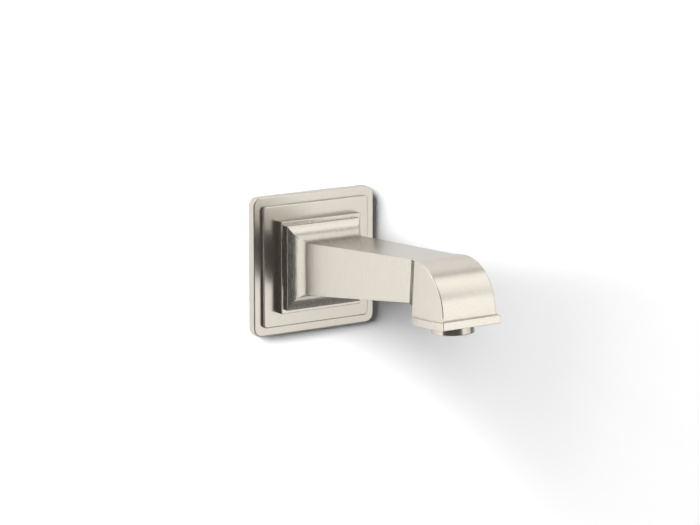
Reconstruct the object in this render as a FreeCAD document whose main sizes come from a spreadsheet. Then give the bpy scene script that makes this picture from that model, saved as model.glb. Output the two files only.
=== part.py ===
import FreeCAD, Part
import math
import os
import Sketcher

# Wall mounted bath spout, in millimetres.
# The origin is the centre of the wall face. +Z is up, +X is to the right as a bather sees it,
# and the spout reaches out along -Y. "Reach" is a distance out from the wall, so y = -reach.
# "Level" is a height along Z, and "half" is half of a width that is symmetric about the YZ plane.

Vector = FreeCAD.Vector

SIZES = {
    # Square stepped plate against the wall
    "plate_side": 101.6,
    "plate_depth": 7.0,
    "plate_corner": 6.5,
    "plate_inset": 6.4,
    "raised_depth": 2.8,
    "raised_corner": 3.0,
    "edge_round": 0.9,
    "plate_rim": 3.4,
    "plate_skin": 2.6,
    "plate_opening": 22.0,
    "gasket_play": 0.4,
    "gasket_width": 9.0,
    "gasket_corner": 3.0,
    "seal_corner": 0.3,
    # Plinth of the spout: two square tiers, then a cove that narrows to the arm
    "plinth_half": 33.55,
    "plinth_depth": 6.85,
    "crown_half": 30.75,
    "crown_depth": 3.4,
    "cove_depth": 15.4,
    "cove_radius_top": 16.9,
    "cove_radius_bottom": 15.8,
    "cove_radius_side": 21.0,
    "plinth_recess_half": 28.0,
    "plinth_recess_depth": 7.0,
    "seal_half": 31.5,
    "seal_width": 2.0,
    "seal_depth": 1.2,
    # Arm: a rectangular section that tapers and rises away from the wall
    "arm_base_half": 23.85,
    "arm_base_top": 20.65,
    "arm_base_bottom": 17.55,
    "arm_end_reach": 160.0,
    "arm_end_half": 17.65,
    "arm_end_top": 29.77,
    "arm_end_bottom": 0.42,
    "shell_wall": 3.0,
    # Hood: quarter-round front, bowed cheeks, and a flared collar where it meets the arm
    "hood_radius": 33.6,
    "hood_arc_reach": 167.2,
    "hood_front_reach": 203.3,
    "hood_arc_level": 3.2,
    "hood_back_half": 17.9,
    "hood_flare_half": 20.2,
    "hood_front_half": 21.35,
    "hood_bow_radius": 330.0,
    "hood_lean": 4.4,
    "hood_mid_level": 15.0,
    "hood_heel_reach": 164.3,
    "hood_heel_wall": 1.7,
    "hood_step_wall": 2.0,
    "hood_cavity_half": 16.6,
    "hood_cavity_reach": 162.6,
    "tier_round": 0.4,
    "arm_round": 0.5,
    "hood_round": 0.6,
    "lip_round": 0.4,
    # Lip round the bottom of the hood, in a plane that rises a little towards the front
    "outlet_reach": 183.7,
    "outlet_level": 12.35,
    "outlet_tilt": 5.0,
    "lip_height": 5.5,
    "lip_cove_height": 2.9,
    "lip_cove_ledge": 0.14,
    "lip_front": 23.4,
    "lip_back": 19.4,
    "lip_back_half": 21.05,
    "lip_front_half": 23.35,
    "lip_bow_radius": 125.0,
    # Threaded inlet adapter on the wall nipple
    "adapter_start": 3.0,
    "adapter_end": 48.0,
    "adapter_radius": 13.5,
    "inlet_radius": 9.13,
    "inlet_depth": 15.0,
    "adapter_bore": 6.0,
    "hex_flats": 27.0,
    "hex_start": 6.0,
    "hex_depth": 8.0,
    "lock_reach": 27.0,
    "lock_groove_half": 3.3,
    "lock_groove_radius": 12.0,
    "adapter_shoulder": 31.0,
    "spigot_radius": 9.4,
    "ring_groove_radius": 8.0,
    "ring_groove_width": 2.2,
    "ring_centre_radius": 8.75,
    "ring_section": 0.72,
    "ring_rear_reach": 38.0,
    "ring_front_reach": 43.5,
    # Waterway from the adapter to the outlet
    "socket_start": 34.5,
    "socket_end": 50.0,
    "socket_radius": 12.1,
    "socket_bore": 9.5,
    "socket_bore_end": 48.3,
    "inlet_overlap": 1.3,
    "tube_slope": 6.04,
    "tube_radius": 7.5,
    "tube_bore": 5.5,
    "tube_start": 4.0,
    "tube_end": 124.0,
    "tube_socket_radius": 9.6,
    "tube_socket_bore": 7.56,
    "tube_socket_end": 14.0,
    "tube_ring_gap": 5.0,
    "tube_groove_radius": 6.5,
    "tube_groove_width": 1.4,
    "tube_ring_centre": 7.02,
    "tube_ring_section": 0.5,
    "elbow_socket_start": 115.0,
    "elbow_centre": 132.1,
    "elbow_radius": 9.3,
    "elbow_passage": 6.0,
    "elbow_wall": 2.5,
    "neck_radius": 9.6,
    "neck_bore": 6.2,
    "neck_height": 29.4,
    "barrel_radius": 16.0,
    "barrel_start": 3.2,
    "barrel_end": 13.0,
    "barrel_bore": 13.95,
    "barrel_seat": 11.05,
    "barrel_throat": 9.0,
    "ear_half": 16.2,
    "ear_back": 16.9,
    "ear_front": 9.0,
    "ear_thickness": 4.0,
    # Plate that closes the hood from below, and its two screws
    "cover_half": 16.4,
    "cover_back": 17.3,
    "cover_front": 16.0,
    "cover_corner": 1.5,
    "cover_start": 0.8,
    "cover_thickness": 2.0,
    "cover_hole": 15.2,
    "screw_half": 13.4,
    "screw_back": 14.5,
    "screw_radius": 1.5,
    "screw_clearance": 1.7,
    "screw_head_radius": 2.7,
    "screw_head": 1.2,
    "screw_length": 15.0,
    "screw_slot_half": 0.4,
    "boss_radius": 3.6,
    "boss_start": 7.4,
    "boss_height": 35.0,
    # Aerator that screws into the outlet from below
    "flange_radius": 14.7,
    "flange_drop": 6.3,
    "flange_top": 0.3,
    "flange_lip": 11.4,
    "flange_lip_height": 1.0,
    "flange_chamfer": 0.5,
    "thread_radius": 13.87,
    "thread_top": 9.0,
    "housing_bore": 12.2,
    "insert_radius": 12.15,
    "straightener_height": 4.5,
    "straightener_pitch": 3.3,
    "straightener_hole": 1.35,
    "screen_height": 0.6,
    "screen_gap": 1.4,
    "screen_pitch": 2.4,
    "screen_hole": 0.95,
    "jet_height": 2.5,
    "jet_gap": 3.0,
    "jet_ring_radius": 8.0,
    "jet_hole": 1.0,
    "washer_inner": 9.6,
    "washer_start": 9.05,
    "washer_end": 11.0,
    "washer_outer": 13.8,
    # Set screw under the spout
    "set_screw_radius": 3.0,
    "set_screw_play": 0.05,
    "set_screw_length": 7.0,
    "set_screw_key": 1.7,
    "set_screw_key_depth": 3.2,
}

COVE_STEPS = (0.0, 0.2, 0.45, 0.7, 1.0)
STRAIGHTENER_RINGS = 3
SCREEN_RINGS = 4
JET_COUNT = 12

doc = FreeCAD.newDocument("bath_spout")
sheet = doc.addObject("Spreadsheet::Sheet", "sizes")
for row, (alias, number) in enumerate(SIZES.items(), start=1):
    sheet.set(f"A{row}", alias)
    sheet.set(f"B{row}", str(number))
    sheet.setAlias(f"B{row}", alias)
doc.recompute()


class Size:
    """A number together with the spreadsheet expression that it comes from."""

    def __init__(self, value, text):
        self.value = value
        self.text = text

    def __add__(self, other):
        other = as_size(other)
        return Size(self.value + other.value, f"({self.text} + {other.text})")

    def __sub__(self, other):
        other = as_size(other)
        return Size(self.value - other.value, f"({self.text} - {other.text})")

    def __mul__(self, other):
        other = as_size(other)
        return Size(self.value * other.value, f"({self.text} * {other.text})")

    def __truediv__(self, other):
        other = as_size(other)
        return Size(self.value / other.value, f"({self.text} / {other.text})")

    def __neg__(self):
        return Size(-self.value, f"(-1 * {self.text})")


def as_size(item):
    return item if isinstance(item, Size) else Size(float(item), f"{float(item):.9f}")


def size(alias):
    return Size(SIZES[alias], f"sizes.{alias}")


ZERO = as_size(0)

nodes = []


# ---------------------------------------------------------------- helpers


def bind(item, path, amount):
    """Ties one property of an object to the spreadsheet."""
    item.setExpression(path, as_size(amount).text)


def place(item, base=(0, 0, 0), axis=(0, 0, 1), angle=0):
    """Puts an object in the spout's frame: its position is bound, its turn is in degrees about axis."""
    point = [as_size(part) for part in base]
    corner = Vector(*[part.value for part in point])
    item.Placement = FreeCAD.Placement(corner, FreeCAD.Rotation(Vector(*axis), angle))
    for name, part in zip("xyz", point):
        bind(item, f"Placement.Base.{name}", part)
    return item


def pin_point(sketch, edge, end, x, y):
    """Holds one end of an edge, or a circle's centre, at a bound position."""
    for kind, amount, axis in (("DistanceX", x, -2), ("DistanceY", y, -1)):
        if abs(amount.value) < 1e-9:
            sketch.addConstraint(Sketcher.Constraint("PointOnObject", edge, end, axis))
            continue
        index = sketch.addConstraint(Sketcher.Constraint(kind, -1, 1, edge, end, amount.value))
        bind(sketch, f"Constraints[{index}]", amount)


def arc_between(start, end, radius):
    """The short arc from start to end. A positive radius turns left on the way, a negative one right."""
    chord = end - start
    reach = math.sqrt(radius * radius - chord.Length * chord.Length / 4)
    left = Vector(-chord.y, chord.x, 0).normalize()
    centre = (start + end) / 2 + left * math.copysign(reach, radius)
    first, last = (start, end) if radius > 0 else (end, start)
    angles = [math.atan2(point.y - centre.y, point.x - centre.x) for point in (first, last)]
    circle = Part.Circle(centre, Vector(0, 0, 1), abs(radius))
    return Part.ArcOfCircle(circle, angles[0], angles[1])


def draw(sketch, corners, arcs=None):
    """A closed outline through corners. arcs gives the signed radius of each edge that isn't straight."""
    arcs = arcs or {}
    corners = [(as_size(x), as_size(y)) for x, y in corners]
    points = [Vector(x.value, y.value, 0) for x, y in corners]
    edges = []
    for index, point in enumerate(points):
        following = points[(index + 1) % len(points)]
        if index in arcs:
            radius = arcs[index]
            edge = sketch.addGeometry(arc_between(point, following, radius.value), False)
            ends = (1, 2) if radius.value > 0 else (2, 1)
            length = radius if radius.value > 0 else -radius
            held = sketch.addConstraint(Sketcher.Constraint("Radius", edge, length.value))
            bind(sketch, f"Constraints[{held}]", length)
        else:
            edge = sketch.addGeometry(Part.LineSegment(point, following), False)
            ends = (1, 2)
        edges.append((edge, ends))
    for index, (edge, ends) in enumerate(edges):
        after, after_ends = edges[(index + 1) % len(edges)]
        joint = Sketcher.Constraint("Coincident", edge, ends[1], after, after_ends[0])
        sketch.addConstraint(joint)
        pin_point(sketch, edge, ends[0], *corners[index])


def draw_circle(sketch, x, y, radius):
    x, y = as_size(x), as_size(y)
    circle = Part.Circle(Vector(x.value, y.value, 0), Vector(0, 0, 1), radius.value)
    edge = sketch.addGeometry(circle, False)
    held = sketch.addConstraint(Sketcher.Constraint("Radius", edge, radius.value))
    bind(sketch, f"Constraints[{held}]", radius)
    pin_point(sketch, edge, 3, x, y)


def draw_block(sketch, half_x, low_y, high_y, corner=None):
    """A rectangle symmetric about the sketch's vertical axis, with rounded corners where corner is given."""
    if corner is None:
        draw(sketch, [(-half_x, low_y), (half_x, low_y), (half_x, high_y), (-half_x, high_y)])
        return
    outline = [
        (-half_x + corner, low_y), (half_x - corner, low_y),
        (half_x, low_y + corner), (half_x, high_y - corner),
        (half_x - corner, high_y), (-half_x + corner, high_y),
        (-half_x, high_y - corner), (-half_x, low_y + corner),
    ]
    draw(sketch, outline, {1: corner, 3: corner, 5: corner, 7: corner})


def new_body(label):
    body = doc.addObject("PartDesign::Body", label)
    body.Label = label
    return body


def body_sketch(body, role, offset=ZERO):
    """A sketch on one of the body's own origin planes, moved out along that plane's normal by offset."""
    sketch = body.newObject("Sketcher::SketchObject", f"{body.Name}_sketch")
    plane = next(item for item in body.Origin.OriginFeatures if item.Role == role)
    sketch.AttachmentSupport = [(plane, "")]
    sketch.MapMode = "FlatFace"
    sketch.AttachmentOffset = FreeCAD.Placement(Vector(0, 0, offset.value), FreeCAD.Rotation())
    bind(sketch, "AttachmentOffset.Base.z", offset)
    return sketch


def pad(body, sketch, length):
    feature = body.newObject("PartDesign::Pad", f"{body.Name}_pad")
    feature.Profile = sketch
    feature.Length = length.value
    bind(feature, "Length", length)
    return feature


def pocket(body, sketch, length):
    """Cuts from the sketch's plane along its normal, and checks that it took something away."""
    doc.recompute()
    before = body.Shape.Volume
    feature = body.newObject("PartDesign::Pocket", f"{body.Name}_pocket")
    feature.Profile = sketch
    feature.Length = length.value
    feature.Reversed = True
    bind(feature, "Length", length)
    doc.recompute()
    if not body.Shape.Volume < before - 1e-6:
        raise RuntimeError(f"{feature.Name} cuts nothing")
    return feature


def turn(body, corners, arcs=None):
    """A solid of revolution about the body's own Z axis, from an outline of (radius, height)."""
    sketch = body_sketch(body, "XZ_Plane")
    draw(sketch, corners, arcs)
    feature = body.newObject("PartDesign::Revolution", f"{body.Name}_turn")
    feature.Profile = sketch
    feature.ReferenceAxis = (sketch, ["V_Axis"])
    feature.Angle = 360
    return feature


def torus_body(label, centre_radius, section, height):
    """A rubber ring: a round section turned about the body's Z axis."""
    body = new_body(label)
    sketch = body_sketch(body, "XZ_Plane")
    draw_circle(sketch, centre_radius, height, section)
    feature = body.newObject("PartDesign::Revolution", f"{label}_turn")
    feature.Profile = sketch
    feature.ReferenceAxis = (sketch, ["V_Axis"])
    feature.Angle = 360
    return body


def free_sketch(label, base=(0, 0, 0), axis=(1, 0, 0), angle=0):
    return place(doc.addObject("Sketcher::SketchObject", label), base, axis, angle)


def extrude(label, sketch, direction, length, symmetric=False):
    feature = doc.addObject("Part::Extrusion", label)
    feature.Base = sketch
    feature.DirMode = "Custom"
    feature.Dir = direction
    feature.Solid = True
    feature.Symmetric = symmetric
    feature.LengthFwd = length.value
    bind(feature, "LengthFwd", length)
    return feature


def cylinder(label, radius, height):
    feature = doc.addObject("Part::Cylinder", label)
    bind(feature, "Radius", radius)
    bind(feature, "Height", height)
    return feature


def join(kind, label, shapes):
    feature = doc.addObject(f"Part::{kind}", label)
    feature.Label = label
    feature.Shapes = shapes
    feature.Refine = True
    return feature


def cut(label, base, tool):
    feature = doc.addObject("Part::Cut", label)
    feature.Label = label
    feature.Base = base
    feature.Tool = tool
    feature.Refine = True
    return feature


def cut_each(label, base, tools):
    """Takes the tools away one after another; the last cut carries the label."""
    for tool in tools:
        name = label if tool is tools[-1] else f"{label}_less_{tool.Name}"
        base = cut(name, base, tool)
        base.Refine = False
    return base


# ---------------------------------------------------------------- shared lines of the spout

OUT = Vector(0, -1, 0)
UP = Vector(0, 0, 1)
TILT = SIZES["outlet_tilt"]
SLOPE = SIZES["tube_slope"]

plate_front = size("plate_depth") + size("raised_depth")
crown_start = plate_front + size("plinth_depth")
cove_start = crown_start + size("crown_depth")
arm_start = cove_start + size("cove_depth")
arm_length = size("arm_end_reach") - arm_start


def arm_top(reach):
    rise = (size("arm_end_top") - size("arm_base_top")) / arm_length
    return size("arm_base_top") + (as_size(reach) - arm_start) * rise


def arm_bottom(reach):
    rise = (size("arm_base_bottom") - size("arm_end_bottom")) / arm_length
    return (as_size(reach) - arm_start) * rise - size("arm_base_bottom")


def arm_half(reach):
    narrowing = (size("arm_base_half") - size("arm_end_half")) / arm_length
    return size("arm_base_half") - (as_size(reach) - arm_start) * narrowing


def along_outlet(item):
    """Stands an object on the outlet's own frame: Z runs up the outlet's axis, from the lip's plane."""
    base = (0, -size("outlet_reach"), -size("outlet_level"))
    return place(item, base, (-1, 0, 0), TILT)


def along_wall_axis(item, reach=ZERO):
    """Points an object's own Z axis straight out of the wall, through the origin."""
    return place(item, (0, -as_size(reach), 0), (1, 0, 0), 90)


def along_tube(item, distance):
    """Points an object's own Z axis along the tube, at a distance from where the tube's axis starts."""
    run = distance * math.cos(math.radians(SLOPE))
    rise = distance * math.sin(math.radians(SLOPE))
    return place(item, (0, -(size("socket_end") + run), rise), (1, 0, 0), 90 - SLOPE)


# ---------------------------------------------------------------- wall plate and its seals


def make_escutcheon():
    """Square stepped plate, hollow at the back, with a round opening for the inlet."""
    body = new_body("escutcheon")
    half = size("plate_side") / 2
    raised = half - size("plate_inset")
    base = body_sketch(body, "XZ_Plane")
    draw_block(base, half, -half, half, size("plate_corner"))
    pad(body, base, size("plate_depth"))
    step = body_sketch(body, "XZ_Plane", size("plate_depth"))
    draw_block(step, raised, -raised, raised, size("raised_corner"))
    top = pad(body, step, size("raised_depth"))
    doc.recompute()

    rounded = []
    for index, edge in enumerate(top.Shape.Edges, start=1):
        box = edge.BoundBox
        spread = max(abs(box.XMin), abs(box.XMax), abs(box.ZMin), abs(box.ZMax))
        on_base = abs(box.YMin + SIZES["plate_depth"]) < 0.01 and spread > half.value - 0.01
        on_step = abs(box.YMax + plate_front.value) < 0.01
        if box.YLength < 0.01 and (on_base or on_step):
            rounded.append(f"Edge{index}")
    fillet = body.newObject("PartDesign::Fillet", "escutcheon_round")
    fillet.Base = (top, rounded)
    fillet.Radius = SIZES["edge_round"]
    bind(fillet, "Radius", size("edge_round"))

    rim = half - size("plate_rim")
    hollow = body_sketch(body, "XZ_Plane")
    draw_block(hollow, rim, -rim, rim, size("plate_corner") / 2)
    pocket(body, hollow, size("plate_depth") - size("plate_skin"))
    inner = raised - size("plate_rim")
    core = body_sketch(body, "XZ_Plane")
    draw_block(core, inner, -inner, inner, size("raised_corner") / 2)
    pocket(body, core, plate_front - size("plate_skin"))
    opening = body_sketch(body, "XZ_Plane")
    draw_circle(opening, 0, 0, size("plate_opening"))
    pocket(body, opening, plate_front + 1)
    nodes.append(body)


def make_square_ring(label, outer, width, start, depth, corner):
    """A flat square ring, such as a gasket, with its back at a distance from the wall."""
    body = new_body(label)
    sketch = body_sketch(body, "XZ_Plane", start)
    draw_block(sketch, outer, -outer, outer, corner)
    draw_block(sketch, outer - width, -(outer - width), outer - width, corner)
    pad(body, sketch, depth)
    nodes.append(body)


def make_gaskets():
    outer = size("plate_side") / 2 - size("plate_rim") - size("gasket_play")
    depth = size("plate_depth") - size("plate_skin")
    make_square_ring("wall_gasket", outer, size("gasket_width"), ZERO, depth, size("gasket_corner"))
    seal = (size("seal_half"), size("seal_width"), plate_front, size("seal_depth"), size("seal_corner"))
    make_square_ring("plinth_seal", *seal)


# ---------------------------------------------------------------- spout casting


def side_view(label, corners, arcs=None, half=size("plinth_half")):
    """A solid from an outline of (reach, level), centred on the YZ plane."""
    sketch = free_sketch(f"{label}_outline", axis=(1, 1, 1), angle=120)
    draw(sketch, [(-as_size(reach), level) for reach, level in corners], arcs)
    return extrude(label, sketch, Vector(1, 0, 0), half * 2, symmetric=True)


def round_edges(label, block, groups):
    """Rounds edges of a block. Each group is a radius and a test of an edge and its middle point."""
    doc.recompute()
    rounded = []
    for number, edge in enumerate(block.Shape.Edges, start=1):
        middle = edge.valueAt((edge.FirstParameter + edge.LastParameter) / 2)
        for radius, wanted in groups:
            if wanted(edge, middle):
                rounded.append((number, radius.value, radius.value))
                break
    fillet = doc.addObject("Part::Fillet", label)
    fillet.Base = block
    fillet.Edges = rounded
    return fillet


def mirrored(stations):
    """Corners of an outline seen from above: (half, reach) down the right side, then back up the left."""
    right = [(as_size(half), -as_size(reach)) for half, reach in stations]
    left = [(-half, y) for half, y in reversed(right)]
    return right + left


def make_arm():
    """Plinth, cove and arm: what the side view and the top view have in common."""
    top, bottom = size("arm_base_top"), -size("arm_base_bottom")
    plinth, crown = size("plinth_half"), size("crown_half")
    end = size("hood_cavity_reach") + 1
    side = side_view("arm_side", [
        (plate_front, -plinth), (plate_front, plinth), (crown_start, plinth), (crown_start, crown),
        (cove_start, crown), (arm_start, top), (end, arm_top(end)), (end, arm_bottom(end)),
        (arm_start, bottom), (cove_start, -crown), (crown_start, -crown), (crown_start, -plinth),
    ], {4: -size("cove_radius_top"), 8: -size("cove_radius_bottom")})
    sketch = free_sketch("arm_plan_outline")
    stations = [
        (plinth, plate_front - 1), (plinth, crown_start), (crown, crown_start), (crown, cove_start),
        (size("arm_base_half"), arm_start), (arm_half(end), end + 1),
    ]
    last = 2 * len(stations) - 2
    draw(sketch, mirrored(stations), {3: size("cove_radius_side"), last - 3: size("cove_radius_side")})
    plan = extrude("arm_plan", sketch, UP, plinth * 3, symmetric=True)
    block = join("MultiCommon", "arm_square", [side, plan])
    long_edge = (end - arm_start).value * 0.8

    def wanted(edge, middle):
        out = max(abs(middle.x), abs(middle.z))
        on_plinth = abs(middle.y + crown_start.value) < 0.05 and out > crown.value + 1
        on_crown = abs(middle.y + cove_start.value) < 0.05 and out > crown.value - 0.5
        return edge.Length > long_edge, on_plinth or on_crown

    return round_edges("arm_block", block, [
        (size("arm_round"), lambda edge, middle: wanted(edge, middle)[0]),
        (size("tier_round"), lambda edge, middle: wanted(edge, middle)[1]),
    ])


def hood_start():
    """Reach of the hood's back corner, at the level where its top view is drawn."""
    lean = math.tan(math.radians(SIZES["hood_lean"]))
    return size("arm_end_reach") - (size("arm_end_top") - size("hood_mid_level")) * lean


def flare_end():
    """Reach of the flare's front edge, at the level of the top view: it meets the arc at the top."""
    lean = math.tan(math.radians(SIZES["hood_lean"]))
    arc = size("hood_arc_reach")
    return arc - (arm_top(arc) - size("hood_mid_level")) * lean


def front_at(height):
    """Distance from the outlet's axis to the hood's upright front, at a height over the lip's plane."""
    tilt = math.radians(TILT)
    return (size("hood_front_reach") - size("outlet_reach") + height * math.sin(tilt)) / math.cos(tilt)


def make_hood():
    """Quarter-round hood with bowed cheeks, and the collar that flares out from the arm's end."""
    front = size("hood_front_reach")
    heel = size("hood_heel_reach")
    lean = math.tan(math.radians(SIZES["hood_lean"]))
    back_top = size("arm_end_reach")
    back_bottom = back_top - (size("arm_end_top") + size("arm_end_bottom")) * lean
    low = -size("outlet_level")
    rise = math.tan(math.radians(TILT))
    sink = size("lip_height") / 2
    side = side_view("hood_side", [
        (back_top, arm_top(back_top)), (size("hood_arc_reach"), arm_top(size("hood_arc_reach"))),
        (front, -size("hood_arc_level")),
        (front, low + sink + (front - size("outlet_reach")) * rise),
        (heel, low + sink + (heel - size("outlet_reach")) * rise),
        (heel, arm_bottom(back_bottom) - 0.4), (back_bottom, arm_bottom(back_bottom)),
    ], {1: size("hood_radius")})
    sketch = free_sketch("hood_plan_outline", base=(0, 0, size("hood_mid_level")))
    start = hood_start()
    stations = [
        (size("hood_back_half"), start - 6), (size("hood_back_half"), start),
        (size("hood_flare_half"), flare_end()),
        (size("hood_front_half"), front + 6),
    ]
    bow = size("hood_bow_radius")
    draw(sketch, mirrored(stations), {2: -bow, 4: -bow})
    angle = math.radians(SIZES["hood_lean"])
    leaning = Vector(0, -math.sin(angle), math.cos(angle))
    plan = extrude("hood_plan", sketch, leaning, size("plinth_half") * 3, symmetric=True)
    block = join("MultiCommon", "hood_square", [side, plan])
    arc_length = size("hood_radius").value * 1.4
    flare = size("hood_flare_half").value - 0.5
    return round_edges("hood_block", block, [
        (size("hood_round"), lambda edge, middle: edge.Length > arc_length and abs(middle.x) > flare),
    ])


def hood_forward(plan_reach, height):
    """How far in front of the outlet's axis a line of the hood stands, at a height over the lip's plane.

    plan_reach is that line's reach in the hood's own top view, which is drawn at hood_mid_level and
    runs up along the leaning direction.
    """
    tilt, lean = math.radians(TILT), math.tan(math.radians(SIZES["hood_lean"]))
    rise = height * math.cos(tilt) - size("outlet_level") - size("hood_mid_level")
    offset = as_size(plan_reach) - size("outlet_reach") + height * math.sin(tilt) + rise * lean
    return offset / (math.cos(tilt) - lean * math.sin(tilt))


def lip_section(label, height, proud):
    """An outline between the hood's (proud = 0) and the lip's (proud = 1), at a height over the lip."""
    sketch = doc.addObject("Sketcher::SketchObject", label)
    on_outlet(sketch, ZERO, ZERO, height)
    hood = [
        (size("hood_flare_half"), hood_forward(flare_end(), height)),
        (size("hood_front_half"), front_at(height)),
    ]
    lip = [
        (size("lip_back_half"), -size("lip_back")),
        (size("lip_front_half"), size("lip_front")),
    ]
    stations = []
    for (inner, near), (outer, far) in zip(hood, lip):
        stations.append((inner + (outer - inner) * proud, near + (far - near) * proud))
    bend = as_size(proud) / size("lip_bow_radius") + as_size(1 - proud) / size("hood_bow_radius")
    bow = as_size(1) / bend
    draw(sketch, mirrored(stations), {0: -bow, 2: -bow})
    return sketch


def make_lip():
    """The proud band round the bottom of the hood, and the small cove that leads into it."""
    band = lip_section("lip_outline", ZERO, 1)
    upright = band.Placement.Rotation.multVec(UP)
    square = extrude("lip_square", band, upright, size("lip_height"))
    lip = round_edges("lip_band", square, [(size("lip_round"), lambda edge, middle: True)])
    sections = []
    for number, climb in enumerate(COVE_STEPS):
        height = size("lip_height") - 0.2 + (size("lip_cove_height") + 0.2) * climb
        proud = (1 - SIZES["lip_cove_ledge"]) * (1 - climb) ** 2 - 0.06 * climb
        sections.append(lip_section(f"lip_cove_outline_{number}", height, proud))
    cove = doc.addObject("Part::Loft", "lip_cove")
    cove.Sections = sections
    cove.Solid = True
    return [lip, cove]


def make_cavities():
    """The hollow of the casting: the arm's, the hood's, the recess in the plinth and the seal's groove."""
    wall = size("shell_wall")
    back, end = plate_front - 1, size("hood_cavity_reach") + 3
    side = side_view("arm_cavity_side", [
        (back, arm_bottom(back) + wall), (back, arm_top(back) - wall),
        (end, arm_top(end) - wall), (end, arm_bottom(end) + wall),
    ])
    sketch = free_sketch("arm_cavity_outline")
    draw(sketch, mirrored([(arm_half(back) - wall, back), (arm_half(end) - wall, end)]))
    plan = extrude("arm_cavity_plan", sketch, UP, size("plinth_half") * 3, symmetric=True)
    arm = join("MultiCommon", "arm_cavity", [side, plan])

    start, arc = size("hood_cavity_reach"), size("hood_arc_reach")
    front = size("hood_front_reach") - wall
    floor = -(size("outlet_level") + 4)
    heel = size("hood_heel_reach") + size("hood_heel_wall")
    step = arm_bottom(start) + size("hood_step_wall")
    hood = side_view("hood_cavity", [
        (heel, floor), (heel, step), (start, step), (start, arm_top(start) - wall),
        (arc, arm_top(arc) - wall), (front, -size("hood_arc_level")), (front, floor),
    ], {4: size("hood_radius") - wall}, half=size("hood_cavity_half"))

    recess_sketch = free_sketch("plinth_recess_outline", base=(0, -back, 0), angle=90)
    recess_half = size("plinth_recess_half")
    draw_block(recess_sketch, recess_half, -recess_half, recess_half)
    recess = extrude("plinth_recess", recess_sketch, OUT, size("plinth_recess_depth") + 1)

    groove_sketch = free_sketch("seal_groove_outline", base=(0, -back, 0), angle=90)
    outer = size("seal_half") + 0.1
    inner = size("seal_half") - size("seal_width") - 0.1
    draw_block(groove_sketch, outer, -outer, outer)
    draw_block(groove_sketch, inner, -inner, inner)
    groove = extrude("seal_groove", groove_sketch, OUT, size("seal_depth") + 1)

    hole = cylinder("set_screw_hole", size("set_screw_radius") + size("set_screw_play"), as_size(30))
    place(hole, (0, -size("lock_reach"), -40))
    return [arm, hood, recess, groove, hole]


def make_bosses():
    """Two columns in the hood's back corners that take the cover's screws."""
    bosses, holes = [], []
    for name, side in (("left", -1), ("right", 1)):
        for kind, radius, group in (
            ("boss", size("boss_radius"), bosses),
            ("boss_hole", size("screw_radius"), holes),
        ):
            length = size("boss_height") if kind == "boss" else size("screw_length")
            start = size("boss_start") if kind == "boss" else size("barrel_start")
            post = cylinder(f"{kind}_{name}", radius, length)
            group.append(on_outlet(post, size("screw_half") * side, -size("screw_back"), start))
    return bosses, holes


def on_outlet(item, x, forward, height):
    """Puts an object upright in the outlet's frame, at a place measured in that frame."""
    lift, shift = math.cos(math.radians(TILT)), math.sin(math.radians(TILT))
    reach = size("outlet_reach") + forward * lift - height * shift
    level = height * lift + forward * shift - size("outlet_level")
    return place(item, (x, -reach, level), (-1, 0, 0), TILT)


def make_spout_shell():
    blocks = [make_arm(), make_hood(), *make_lip()]
    outside = join("MultiFuse", "spout_outside", blocks)
    casting = cut_each("spout_casting", outside, make_cavities())
    bosses, holes = make_bosses()
    with_bosses = join("MultiFuse", "spout_with_bosses", [casting, *bosses])
    drill = join("MultiFuse", "boss_holes", holes)
    shell = cut("spout_shell", with_bosses, drill)
    nodes.append(shell)


# ---------------------------------------------------------------- waterway


def make_adapter():
    """Brass adapter: it screws onto the wall nipple, and the spout is pushed over it."""
    body = new_body("inlet_adapter")
    start, end = size("adapter_start"), size("adapter_end")
    outer, spigot = size("adapter_radius"), size("spigot_radius")
    lock, half = size("lock_reach"), size("lock_groove_half")
    lock_radius, floor = size("lock_groove_radius"), size("ring_groove_radius")
    outline = [
        (0, start), (outer, start), (outer, lock - half), (lock_radius, lock - half),
        (lock_radius, lock + half), (outer, lock + half), (outer, size("adapter_shoulder")),
        (spigot, size("adapter_shoulder") + 2),
    ]
    for reach in (size("ring_rear_reach"), size("ring_front_reach")):
        low, high = reach - size("ring_groove_width") / 2, reach + size("ring_groove_width") / 2
        outline += [(spigot, low), (floor, low), (floor, high), (spigot, high)]
    outline += [(spigot, end), (0, end)]
    turn(body, outline)
    hexagon = body_sketch(body, "XY_Plane", size("hex_start"))
    across = size("hex_flats") / 2
    point = across / math.cos(math.radians(30))
    turns = [math.radians(60 * k) for k in range(6)]
    corners = [(point * math.cos(a), point * math.sin(a)) for a in turns]
    draw(hexagon, corners)
    pad(body, hexagon, size("hex_depth"))
    mouth = body_sketch(body, "XY_Plane", start)
    draw_circle(mouth, 0, 0, size("inlet_radius"))
    pocket(body, mouth, size("inlet_depth"))
    bore = body_sketch(body, "XY_Plane", start)
    draw_circle(bore, 0, 0, size("adapter_bore"))
    pocket(body, bore, end - start)
    along_wall_axis(body)
    nodes.append(body)
    for name in ("rear", "front"):
        ring = torus_body(
            f"adapter_o_ring_{name}", size("ring_centre_radius"), size("ring_section"),
            size(f"ring_{name}_reach"),
        )
        along_wall_axis(ring)
        nodes.append(ring)


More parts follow.
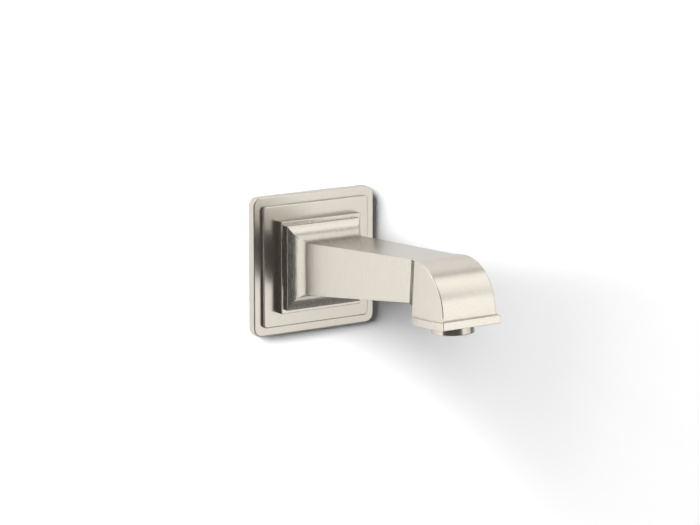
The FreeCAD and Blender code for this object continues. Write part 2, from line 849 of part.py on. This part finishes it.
def make_waterway_inlet():
    """Socket that takes the adapter, with a second socket in front that takes the sloping tube."""
    rear = cylinder("inlet_socket", size("socket_radius"), size("socket_end") - size("socket_start"))
    along_wall_axis(rear, size("socket_start"))
    overlap = size("inlet_overlap")
    front = cylinder("tube_socket", size("tube_socket_radius"), size("tube_socket_end") + overlap)
    along_tube(front, -overlap)
    solid = join("MultiFuse", "inlet_solid", [rear, front])

    bore = cylinder("inlet_socket_bore", size("socket_bore"), size("socket_bore_end") - size("socket_start"))
    along_wall_axis(bore, size("socket_start"))
    overlap = overlap * 2
    passage = cylinder("inlet_passage", size("tube_bore"), size("tube_start") + overlap)
    along_tube(passage, -overlap)
    seat = cylinder("tube_seat", size("tube_socket_bore"), size("tube_socket_end") - size("tube_start"))
    along_tube(seat, size("tube_start"))
    nodes.append(cut_each("waterway_inlet", solid, [bore, passage, seat]))


def tube_ring_distances():
    gap = size("tube_ring_gap")
    return {"inlet": size("tube_start") + gap, "outlet": size("tube_end") - gap}


def make_tube():
    """Straight tube up the arm, with a groove and a rubber ring near each end."""
    body = new_body("waterway_tube")
    outer, inner, floor = size("tube_radius"), size("tube_bore"), size("tube_groove_radius")
    outline = [(inner, size("tube_start")), (outer, size("tube_start"))]
    for distance in tube_ring_distances().values():
        low = distance - size("tube_groove_width") / 2
        high = distance + size("tube_groove_width") / 2
        outline += [(outer, low), (floor, low), (floor, high), (outer, high)]
    outline += [(outer, size("tube_end")), (inner, size("tube_end"))]
    turn(body, outline)
    along_tube(body, ZERO)
    nodes.append(body)
    centre, section = size("tube_ring_centre"), size("tube_ring_section")
    for name, distance in tube_ring_distances().items():
        ring = torus_body(f"tube_o_ring_{name}", centre, section, distance)
        along_tube(ring, ZERO)
        nodes.append(ring)


def make_elbow():
    """Outlet elbow: the tube's socket, a turn down, and a threaded barrel for the aerator."""
    centre, start = size("elbow_centre"), size("elbow_socket_start")
    socket = along_tube(cylinder("elbow_socket", size("elbow_radius"), centre - start), start)
    neck_length = size("neck_height") - size("barrel_end") + 1
    neck = cylinder("elbow_neck", size("neck_radius"), neck_length)
    on_outlet(neck, ZERO, ZERO, size("barrel_end") - 1)
    barrel = cylinder("elbow_barrel", size("barrel_radius"), size("barrel_end") - size("barrel_start"))
    on_outlet(barrel, ZERO, ZERO, size("barrel_start"))
    ear_sketch = doc.addObject("Sketcher::SketchObject", "ear_outline")
    on_outlet(ear_sketch, ZERO, ZERO, size("barrel_start"))
    draw_block(ear_sketch, size("ear_half"), size("ear_front"), size("ear_back"), size("cover_corner"))
    upright = ear_sketch.Placement.Rotation.multVec(UP)
    ears = extrude("elbow_ears", ear_sketch, upright, size("ear_thickness"))
    solid = join("MultiFuse", "elbow_solid", [socket, neck, barrel, ears])

    seat = cylinder("elbow_seat", size("tube_socket_bore"), size("tube_end") - start)
    along_tube(seat, start)
    wall = size("elbow_wall")
    passage = cylinder("elbow_run", size("elbow_passage"), centre - size("tube_end") - wall)
    along_tube(passage, size("tube_end"))
    drop = cylinder("elbow_drop", size("neck_bore"), size("neck_height") - size("barrel_end") - wall)
    on_outlet(drop, ZERO, ZERO, size("barrel_end"))
    throat = cylinder("elbow_throat", size("barrel_throat"), size("barrel_end") - size("barrel_seat"))
    on_outlet(throat, ZERO, ZERO, size("barrel_seat"))
    thread = cylinder("elbow_thread", size("barrel_bore"), size("barrel_seat") - size("barrel_start"))
    on_outlet(thread, ZERO, ZERO, size("barrel_start"))
    holes = []
    for name, side in (("left", -1), ("right", 1)):
        hole = cylinder(f"ear_hole_{name}", size("screw_clearance"), size("ear_thickness"))
        holes.append(on_outlet(hole, size("screw_half") * side, -size("screw_back"), size("barrel_start")))
    tools = [seat, passage, drop, throat, thread, *holes]
    nodes.append(cut_each("outlet_elbow", solid, tools))


# ---------------------------------------------------------------- cover, screws, aerator


def make_cover():
    """Plate that closes the hood from below, round the aerator."""
    body = new_body("outlet_cover")
    outline = body_sketch(body, "XY_Plane", size("cover_start"))
    draw_block(outline, size("cover_half"), -size("cover_front"), size("cover_back"), size("cover_corner"))
    draw_circle(outline, 0, 0, size("cover_hole"))
    for side in (-1, 1):
        draw_circle(outline, size("screw_half") * side, size("screw_back"), size("screw_clearance"))
    pad(body, outline, size("cover_thickness"))
    along_outlet(body)
    nodes.append(body)


def make_cover_screws():
    """Two pan-head screws, as separate solids of one node."""
    screws = []
    for name, side in (("left", -1), ("right", 1)):
        body = new_body(f"cover_screw_{name}")
        head_bottom = size("cover_start") - size("screw_head")
        turn(body, [
            (0, head_bottom), (size("screw_head_radius"), head_bottom),
            (size("screw_head_radius"), size("cover_start")), (size("screw_radius"), size("cover_start")),
            (size("screw_radius"), size("screw_length")), (0, size("screw_length")),
        ])
        slot = body_sketch(body, "XY_Plane", head_bottom)
        draw_block(slot, size("screw_head_radius"), -size("screw_slot_half"), size("screw_slot_half"))
        pocket(body, slot, size("screw_head") / 2)
        screws.append(on_outlet(body, size("screw_half") * side, -size("screw_back"), ZERO))
    doc.recompute()
    group = doc.addObject("Part::Compound", "cover_screws")
    group.Label = "cover_screws"
    group.Links = screws
    nodes.append(group)


def grid_places(rings, pitch):
    """Centres of a honeycomb of holes: rows of a triangular grid, out to a number of rings."""
    places = []
    for row in range(-rings, rings + 1):
        count = 2 * rings + 1 - abs(row)
        for step in range(count):
            x = pitch * (step - (count - 1) / 2)
            places.append((x, pitch * (row * math.sqrt(3) / 2)))
    return places


def make_disc(label, start, height, places, hole):
    """A round insert with through holes, in the aerator."""
    body = new_body(label)
    outline = body_sketch(body, "XY_Plane", start)
    draw_circle(outline, 0, 0, size("insert_radius"))
    for x, y in places:
        draw_circle(outline, x, y, hole)
    pad(body, outline, height)
    along_outlet(body)
    nodes.append(body)


def make_aerator():
    """Threaded housing that hangs below the lip, its inserts, and the washer that seals it."""
    body = new_body("aerator_housing")
    bottom, top = -size("flange_drop"), size("flange_top")
    chamfer, flange = size("flange_chamfer"), size("flange_radius")
    shelf = bottom + size("flange_lip_height")
    turn(body, [
        (size("flange_lip"), bottom), (flange - chamfer, bottom), (flange, bottom + chamfer),
        (flange, top - chamfer), (flange - chamfer, top), (size("thread_radius"), top),
        (size("thread_radius"), size("thread_top")), (size("housing_bore"), size("thread_top")),
        (size("housing_bore"), shelf), (size("flange_lip"), shelf),
    ])
    along_outlet(body)
    nodes.append(body)

    comb = grid_places(STRAIGHTENER_RINGS, size("straightener_pitch"))
    make_disc("aerator_straightener", shelf, size("straightener_height"), comb, size("straightener_hole"))
    screen_start = shelf + size("straightener_height") + size("screen_gap")
    mesh = grid_places(SCREEN_RINGS, size("screen_pitch"))
    make_disc("aerator_screen", screen_start, size("screen_height"), mesh, size("screen_hole"))
    jet_start = screen_start + size("screen_height") + size("jet_gap")
    jets = []
    for step in range(JET_COUNT):
        angle = 2 * math.pi * step / JET_COUNT
        jets.append((size("jet_ring_radius") * math.cos(angle), size("jet_ring_radius") * math.sin(angle)))
    make_disc("aerator_jet_disc", jet_start, size("jet_height"), jets, size("jet_hole"))

    washer = new_body("aerator_washer")
    turn(washer, [
        (size("washer_inner"), size("washer_start")), (size("washer_outer"), size("washer_start")),
        (size("washer_outer"), size("washer_end")), (size("washer_inner"), size("washer_end")),
    ])
    along_outlet(washer)
    nodes.append(washer)


def make_set_screw():
    """Socket set screw that locks the spout to the adapter, from below."""
    body = new_body("set_screw")
    tip = -(size("lock_groove_radius") + size("set_screw_play"))
    bottom = tip - size("set_screw_length")
    radius, cone = size("set_screw_radius"), size("set_screw_radius") / 3
    turn(body, [(0, bottom), (radius, bottom), (radius, tip - cone), (radius - cone, tip), (0, tip)])
    key = body_sketch(body, "XY_Plane", bottom)
    across = size("set_screw_key")
    turns = [math.radians(60 * k) for k in range(6)]
    hexagon = [(across * math.cos(a), across * math.sin(a)) for a in turns]
    draw(key, hexagon)
    pocket(body, key, size("set_screw_key_depth"))
    place(body, (0, -size("lock_reach"), 0))
    nodes.append(body)


# ---------------------------------------------------------------- build, check, write

make_escutcheon()
make_gaskets()
make_spout_shell()
make_adapter()
make_waterway_inlet()
make_tube()
make_elbow()
make_cover()
make_cover_screws()
make_aerator()
make_set_screw()
doc.recompute()

for item in doc.Objects:
    if "Invalid" in item.State or "Error" in item.State:
        raise RuntimeError(f"{item.Name} failed: {item.State}")
for item in nodes:
    if item.Shape.isNull() or not item.Shape.isValid():
        raise RuntimeError(f"{item.Label} has no valid shape")

os.makedirs("parts", exist_ok=True)
for item in nodes:
    item.Shape.exportStep(f"parts/{item.Label}.step")
    box = item.Shape.BoundBox
    print(f"{item.Label}: {len(item.Shape.Solids)} solid(s), {item.Shape.Volume:.1f} mm3, "
          f"x {box.XMin:.2f} to {box.XMax:.2f}, y {box.YMin:.2f} to {box.YMax:.2f}, "
          f"z {box.ZMin:.2f} to {box.ZMax:.2f}")
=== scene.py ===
import bpy
import math
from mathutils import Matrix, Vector

# Wall mounted bath spout in warm satin nickel, on a white wall. Metres, in the frame of the CAD:
# +Z up, the wall in the plane y = 0, and the spout reaching out along -Y.

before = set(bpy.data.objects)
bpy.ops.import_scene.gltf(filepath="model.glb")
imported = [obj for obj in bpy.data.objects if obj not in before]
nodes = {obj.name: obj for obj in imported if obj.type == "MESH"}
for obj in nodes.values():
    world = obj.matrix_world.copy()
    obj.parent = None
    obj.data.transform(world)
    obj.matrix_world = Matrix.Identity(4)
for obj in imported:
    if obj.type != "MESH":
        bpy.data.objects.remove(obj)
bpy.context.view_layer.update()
scene = bpy.context.scene


# ---------------------------------------------------------------- node helpers


def new_material(name):
    material = bpy.data.materials.new(name)
    material.use_nodes = True
    tree = material.node_tree
    tree.nodes.clear()
    return material, Graph(tree)


class Graph:
    """Short names for making and joining shader nodes."""

    def __init__(self, tree):
        self.tree = tree

    def add(self, kind, settings=None, **inputs):
        node = self.tree.nodes.new(kind)
        for key, value in (settings or {}).items():
            setattr(node, key, value)
        for key, value in inputs.items():
            numbered = key[0] == "i" and key[1:].isdigit()
            self.feed(node.inputs[int(key[1:]) if numbered else key], value)
        return node

    def feed(self, socket, value):
        if isinstance(value, bpy.types.NodeSocket):
            self.tree.links.new(value, socket)
        else:
            socket.default_value = value

    def math(self, operation, a, b=0.0):
        return self.add("ShaderNodeMath", {"operation": operation}, i0=a, i1=b).outputs[0]

    def weigh(self, a, share_a, b, share_b):
        """The sum of two values, each times its share."""
        return self.math("ADD", self.math("MULTIPLY", a, share_a), self.math("MULTIPLY", b, share_b))

    def stretch(self, scale):
        """The object's own coordinates, stretched."""
        place = self.add("ShaderNodeTexCoord").outputs["Object"]
        return self.add("ShaderNodeMapping", None, Vector=place, Scale=scale).outputs[0]

    def noise(self, vector, scale, detail=3.0, rough=0.5):
        node = self.add("ShaderNodeTexNoise", None, Vector=vector, Scale=scale, Detail=detail)
        node.inputs["Roughness"].default_value = rough
        return node.outputs["Fac"]

    def spread(self, value, low, high, to_low, to_high):
        """Maps low..high to to_low..to_high, and holds the ends."""
        node = self.add("ShaderNodeMapRange", None, Value=value)
        limits = {"From Min": low, "From Max": high, "To Min": to_low, "To Max": to_high}
        for key, number in limits.items():
            node.inputs[key].default_value = number
        return node.outputs["Result"]

    def blend(self, fac, a, b):
        """A colour mix: the Mix node keeps its colours at inputs 6 and 7, and its result at output 2."""
        return self.add("ShaderNodeMix", {"data_type": "RGBA"}, i0=fac, i6=a, i7=b).outputs[2]

    def output(self, shader):
        self.add("ShaderNodeOutputMaterial", None, Surface=shader)


BRUSH_LINES = 2900.0  # brush lines per metre, across the brushing
BRUSH_STRETCH = 0.02  # scale along the brushing, against 1 across it
BRUSH_BUMP = 0.003
CLOUD_SCALE = 14.0
EDGE_RADIUS = 0.0003
BUMP_DEPTH = 0.0002
TONE_LOW, TONE_HIGH = 0.3, 0.7  # the part of the noise's range that the colours are spread over
ROUGHNESS_CHANGE = 0.01


def brushed_metal(name, dark, light, rough, grain):
    """Metal brushed in one direction: grain is the direction's axis, and the lines run along it."""
    material, g = new_material(name)
    scale = [1.0, 1.0, 1.0]
    scale[grain] = BRUSH_STRETCH
    fine = g.noise(g.stretch(scale), BRUSH_LINES, 4.0, 0.6)
    coarse = g.noise(g.stretch(scale), BRUSH_LINES * 0.12, 3.0, 0.6)
    cloud = g.noise(g.stretch((1, 1, 1)), CLOUD_SCALE, 3.0, 0.55)
    tone = g.weigh(g.weigh(fine, 0.8, coarse, 0.2), 0.85, cloud, 0.15)
    colour = g.blend(g.spread(tone, TONE_LOW, TONE_HIGH, 0.0, 1.0), (*dark, 1), (*light, 1))
    low, high = rough - ROUGHNESS_CHANGE, rough + ROUGHNESS_CHANGE
    roughness = g.spread(tone, TONE_LOW, TONE_HIGH, low, high)
    round_edge = g.add("ShaderNodeBevel", {"samples": 8}, Radius=EDGE_RADIUS)
    bump = g.add("ShaderNodeBump", None, Height=fine, Normal=round_edge.outputs[0])
    bump.inputs["Strength"].default_value = BRUSH_BUMP
    bump.inputs["Distance"].default_value = BUMP_DEPTH
    shader = g.add("ShaderNodeBsdfPrincipled", None, Roughness=roughness, Normal=bump.outputs[0])
    g.feed(shader.inputs["Base Color"], colour)
    shader.inputs["Metallic"].default_value = 1.0
    shader.inputs["Specular Tint"].default_value = (0.7, 0.7, 0.7, 1)
    g.output(shader.outputs[0])
    return material


MOULDED_CLOUD_SCALE = 40.0
MOULDED_LOW, MOULDED_HIGH = 0.35, 0.65
MOULDED_ROUGHNESS_CHANGE = 0.05


def moulded(name, dark, light, rough, speckle=900.0, strength=0.12, coat=0.0):
    """Plastic, rubber or foam: a fine surface texture with slight changes of tone."""
    material, g = new_material(name)
    fine = g.noise(g.stretch((1, 1, 1)), speckle, 3.0, 0.6)
    cloud = g.noise(g.stretch((1, 1, 1)), MOULDED_CLOUD_SCALE, 3.0, 0.5)
    tone = g.weigh(fine, 0.5, cloud, 0.5)
    colour = g.blend(g.spread(tone, MOULDED_LOW, MOULDED_HIGH, 0.0, 1.0), (*dark, 1), (*light, 1))
    low, high = rough - MOULDED_ROUGHNESS_CHANGE, rough + MOULDED_ROUGHNESS_CHANGE
    bump = g.add("ShaderNodeBump", None, Height=fine)
    bump.inputs["Strength"].default_value = strength
    bump.inputs["Distance"].default_value = BUMP_DEPTH
    shader = g.add("ShaderNodeBsdfPrincipled", None, Normal=bump.outputs[0])
    g.feed(shader.inputs["Base Color"], colour)
    g.feed(shader.inputs["Roughness"], g.spread(tone, MOULDED_LOW, MOULDED_HIGH, low, high))
    shader.inputs["Coat Weight"].default_value = coat
    g.output(shader.outputs[0])
    return material


# ---------------------------------------------------------------- materials of the CAD nodes

ALONG_X, ALONG_Z = 0, 2
NICKEL_DARK, NICKEL_LIGHT = (0.52, 0.487, 0.431), (0.545, 0.51, 0.453)

LOOKS = {
    "nickel_plate": brushed_metal("nickel_plate", NICKEL_DARK, NICKEL_LIGHT, 0.28, ALONG_Z),
    "nickel_spout": brushed_metal("nickel_spout", NICKEL_DARK, NICKEL_LIGHT, 0.27, ALONG_Z),
    "nickel_ring": brushed_metal("nickel_ring", (0.42, 0.39, 0.34), (0.52, 0.48, 0.43), 0.24, ALONG_Z),
    "steel": brushed_metal("steel", (0.42, 0.42, 0.42), (0.55, 0.55, 0.54), 0.32, ALONG_Z),
    "brass": brushed_metal("brass", (0.62, 0.43, 0.18), (0.76, 0.56, 0.27), 0.30, ALONG_X),
    "rubber": moulded("rubber", (0.012, 0.012, 0.012), (0.03, 0.03, 0.03), 0.55),
    "foam": moulded("foam", (0.03, 0.03, 0.032), (0.07, 0.07, 0.075), 0.85, 1500.0, 0.6),
    "pipe_plastic": moulded("pipe_plastic", (0.52, 0.52, 0.49), (0.62, 0.62, 0.59), 0.45),
    "cover_plastic": moulded("cover_plastic", (0.03, 0.03, 0.032), (0.05, 0.05, 0.052), 0.5),
    "white_plastic": moulded("white_plastic", (0.70, 0.70, 0.67), (0.80, 0.80, 0.78), 0.35, coat=0.2),
}

NODE_LOOK = {
    "escutcheon": "nickel_plate",
    "spout_shell": "nickel_spout",
    "aerator_housing": "nickel_ring",
    "wall_gasket": "foam",
    "plinth_seal": "rubber",
    "inlet_adapter": "brass",
    "adapter_o_ring_rear": "rubber",
    "adapter_o_ring_front": "rubber",
    "tube_o_ring_inlet": "rubber",
    "tube_o_ring_outlet": "rubber",
    "aerator_washer": "rubber",
    "waterway_inlet": "pipe_plastic",
    "waterway_tube": "pipe_plastic",
    "outlet_elbow": "pipe_plastic",
    "outlet_cover": "cover_plastic",
    "cover_screws": "steel",
    "set_screw": "steel",
    "aerator_screen": "steel",
    "aerator_straightener": "white_plastic",
    "aerator_jet_disc": "white_plastic",
}

for name, look in NODE_LOOK.items():
    mesh = nodes[name].data
    mesh.materials.clear()
    mesh.materials.append(LOOKS[look])


# ---------------------------------------------------------------- camera

CAMERA_AT = Vector((-1.1244, -1.8138, 0.4412))
CAMERA_TARGET = Vector((0.0247, -0.0163, -0.0022))
CAMERA_LENS = 154.6
CAMERA_SENSOR = 36.0

camera_data = bpy.data.cameras.new("camera")
camera_data.lens = CAMERA_LENS
camera_data.sensor_width = CAMERA_SENSOR
camera_data.clip_start = 0.05
camera_data.clip_end = 50.0
camera = bpy.data.objects.new("camera", camera_data)
scene.collection.objects.link(camera)
camera.location = CAMERA_AT
camera.rotation_mode = "QUATERNION"
camera.rotation_quaternion = (CAMERA_TARGET - CAMERA_AT).to_track_quat("-Z", "Y")
scene.camera = camera


# ---------------------------------------------------------------- wall, floor and light


def flat_mesh(name, corners, faces):
    mesh = bpy.data.meshes.new(name)
    mesh.from_pydata(corners, [], faces)
    item = bpy.data.objects.new(name, mesh)
    scene.collection.objects.link(item)
    return item


PAINTED_SHADE_FOR_BOUNCES = (0.1, 0.1, 0.1, 1)  # painted shade: the wall turns dark grey to light that has already bounced diffusely, which keeps the shadows on it deep


def one_sided(name, grey):
    """Pale paint that is seen only from its front, so that views from behind look through it. To light that
    has bounced diffusely it turns dark grey, a painted shade that keeps shadows deep.
    """
    material, g = new_material(name)
    paint = g.add("ShaderNodeBsdfPrincipled", None, Roughness=0.9)
    paint.inputs["Specular IOR Level"].default_value = 0.0
    # Painted shade: once a ray has bounced diffusely, the paint turns to the dark grey, so little bounced
    # light fills the shadows.
    bounced = g.math("GREATER_THAN", g.add("ShaderNodeLightPath").outputs["Diffuse Depth"], 0.5)
    g.feed(paint.inputs["Base Color"], g.blend(bounced, (grey, grey, grey, 1), PAINTED_SHADE_FOR_BOUNCES))
    clear = g.add("ShaderNodeBsdfTransparent")
    facing = g.add("ShaderNodeNewGeometry").outputs["Backfacing"]
    mixed = g.add("ShaderNodeMixShader", None, i0=facing, i1=paint.outputs[0], i2=clear.outputs[0])
    g.output(mixed.outputs[0])
    return material


WALL_Y = 0.0012
ROOM_HALF = 4.0
ROOM_DEPTH = 6.0
HOLE_HALF = 0.047  # half the side of the wall's hole behind the plate
FLOOR_Z = -1.1

SIDES = ((-1, -1), (1, -1), (1, 1), (-1, 1))
wall_corners = [(half * x, WALL_Y, half * z) for half in (ROOM_HALF, HOLE_HALF) for x, z in SIDES]
wall_faces = [(0, 1, 5, 4), (1, 2, 6, 5), (2, 3, 7, 6), (3, 0, 4, 7)]
wall = flat_mesh("wall", wall_corners, wall_faces)
wall.data.materials.append(one_sided("wall_paint_and_painted_shade", 0.8))
floor_corners = [
    (-ROOM_HALF, -ROOM_DEPTH, FLOOR_Z),
    (ROOM_HALF, -ROOM_DEPTH, FLOOR_Z),
    (ROOM_HALF, WALL_Y, FLOOR_Z),
    (-ROOM_HALF, WALL_Y, FLOOR_Z),
]
floor = flat_mesh("floor", floor_corners, [(0, 1, 2, 3)])
floor.data.materials.append(one_sided("floor_paint", 0.6))
floor.visible_diffuse = False
floor.visible_glossy = False


CENTRE = Vector((0, -0.08, 0))  # the point that every lamp is aimed at


def area_light(name, at, width, height, power):
    """A rectangular lamp aimed at CENTRE: its sides in metres, its power in watts."""
    data = bpy.data.lights.new(name, "AREA")
    data.shape = "RECTANGLE"
    data.size = width
    data.size_y = height
    data.energy = power
    lamp = bpy.data.objects.new(name, data)
    scene.collection.objects.link(lamp)
    lamp.location = at
    lamp.rotation_mode = "QUATERNION"
    lamp.rotation_quaternion = (CENTRE - at).to_track_quat("-Z", "Y")
    return lamp


def unseen(lamp, *rays):
    """Takes a lamp away from some kinds of ray, such as diffuse or glossy."""
    for ray in rays:
        setattr(lamp, f"visible_{ray}", False)


def at_angle(azimuth, elevation, distance):
    """A point round the spout: azimuth 0 is straight out from the wall and 90 is to the right."""
    a, e = math.radians(azimuth), math.radians(elevation)
    return Vector((math.sin(a) * math.cos(e), -math.cos(a) * math.cos(e), math.sin(e))) * distance


key = area_light("key", at_angle(-65, 26, 4.0), 2.7, 2.7, 790)
unseen(key, "glossy", "camera")
panel = area_light("panel", at_angle(44, 18, 0.8), 0.46, 1.35, 2.15)
unseen(panel, "diffuse", "camera")
front = area_light("front_panel", at_angle(21, -4, 0.8), 0.25, 0.75, 0.94)
unseen(front, "diffuse", "camera")
rear = area_light("rear", at_angle(165, 25, 2.0), 1.6, 1.6, 22)
unseen(rear, "camera")

# Reflections see a bright ceiling and a softer side. Diffuse light sees a dim world, the camera a pale one.
CEILING_GLOW = 0.6
SIDE_LOW, SIDE_HIGH = 0.15, 0.3
DIM_WORLD = 0.08
PALE_BACKGROUND = 0.8

world = bpy.data.worlds.new("studio")
scene.world = world
world.use_nodes = True
g = Graph(world.node_tree)
world.node_tree.nodes.clear()
direction = g.add("ShaderNodeTexCoord").outputs["Generated"]
parts = g.add("ShaderNodeSeparateXYZ", None, Vector=direction)
ceiling = g.spread(parts.outputs["Z"], 0.35, 0.85, 0.0, CEILING_GLOW)
sideways = g.spread(parts.outputs["X"], -0.1, 0.8, SIDE_LOW, SIDE_HIGH)
reflected = g.math("ADD", ceiling, sideways)
kinds = g.add("ShaderNodeLightPath").outputs
bounced = g.math("GREATER_THAN", kinds["Diffuse Depth"], 0.5)
dim = g.math("MAXIMUM", bounced, kinds["Is Diffuse Ray"])
lit = g.add("ShaderNodeMix", None, i0=dim, i2=reflected, i3=DIM_WORLD)
tone = g.add("ShaderNodeMix", None, i0=kinds["Is Camera Ray"], i2=lit.outputs[0], i3=PALE_BACKGROUND)
back = g.add("ShaderNodeBackground", None, Strength=1.0)
g.feed(back.inputs["Color"], tone.outputs[0])
g.add("ShaderNodeOutputWorld", None, Surface=back.outputs[0])

scene.view_settings.view_transform = "Standard"
scene.view_settings.look = "None"
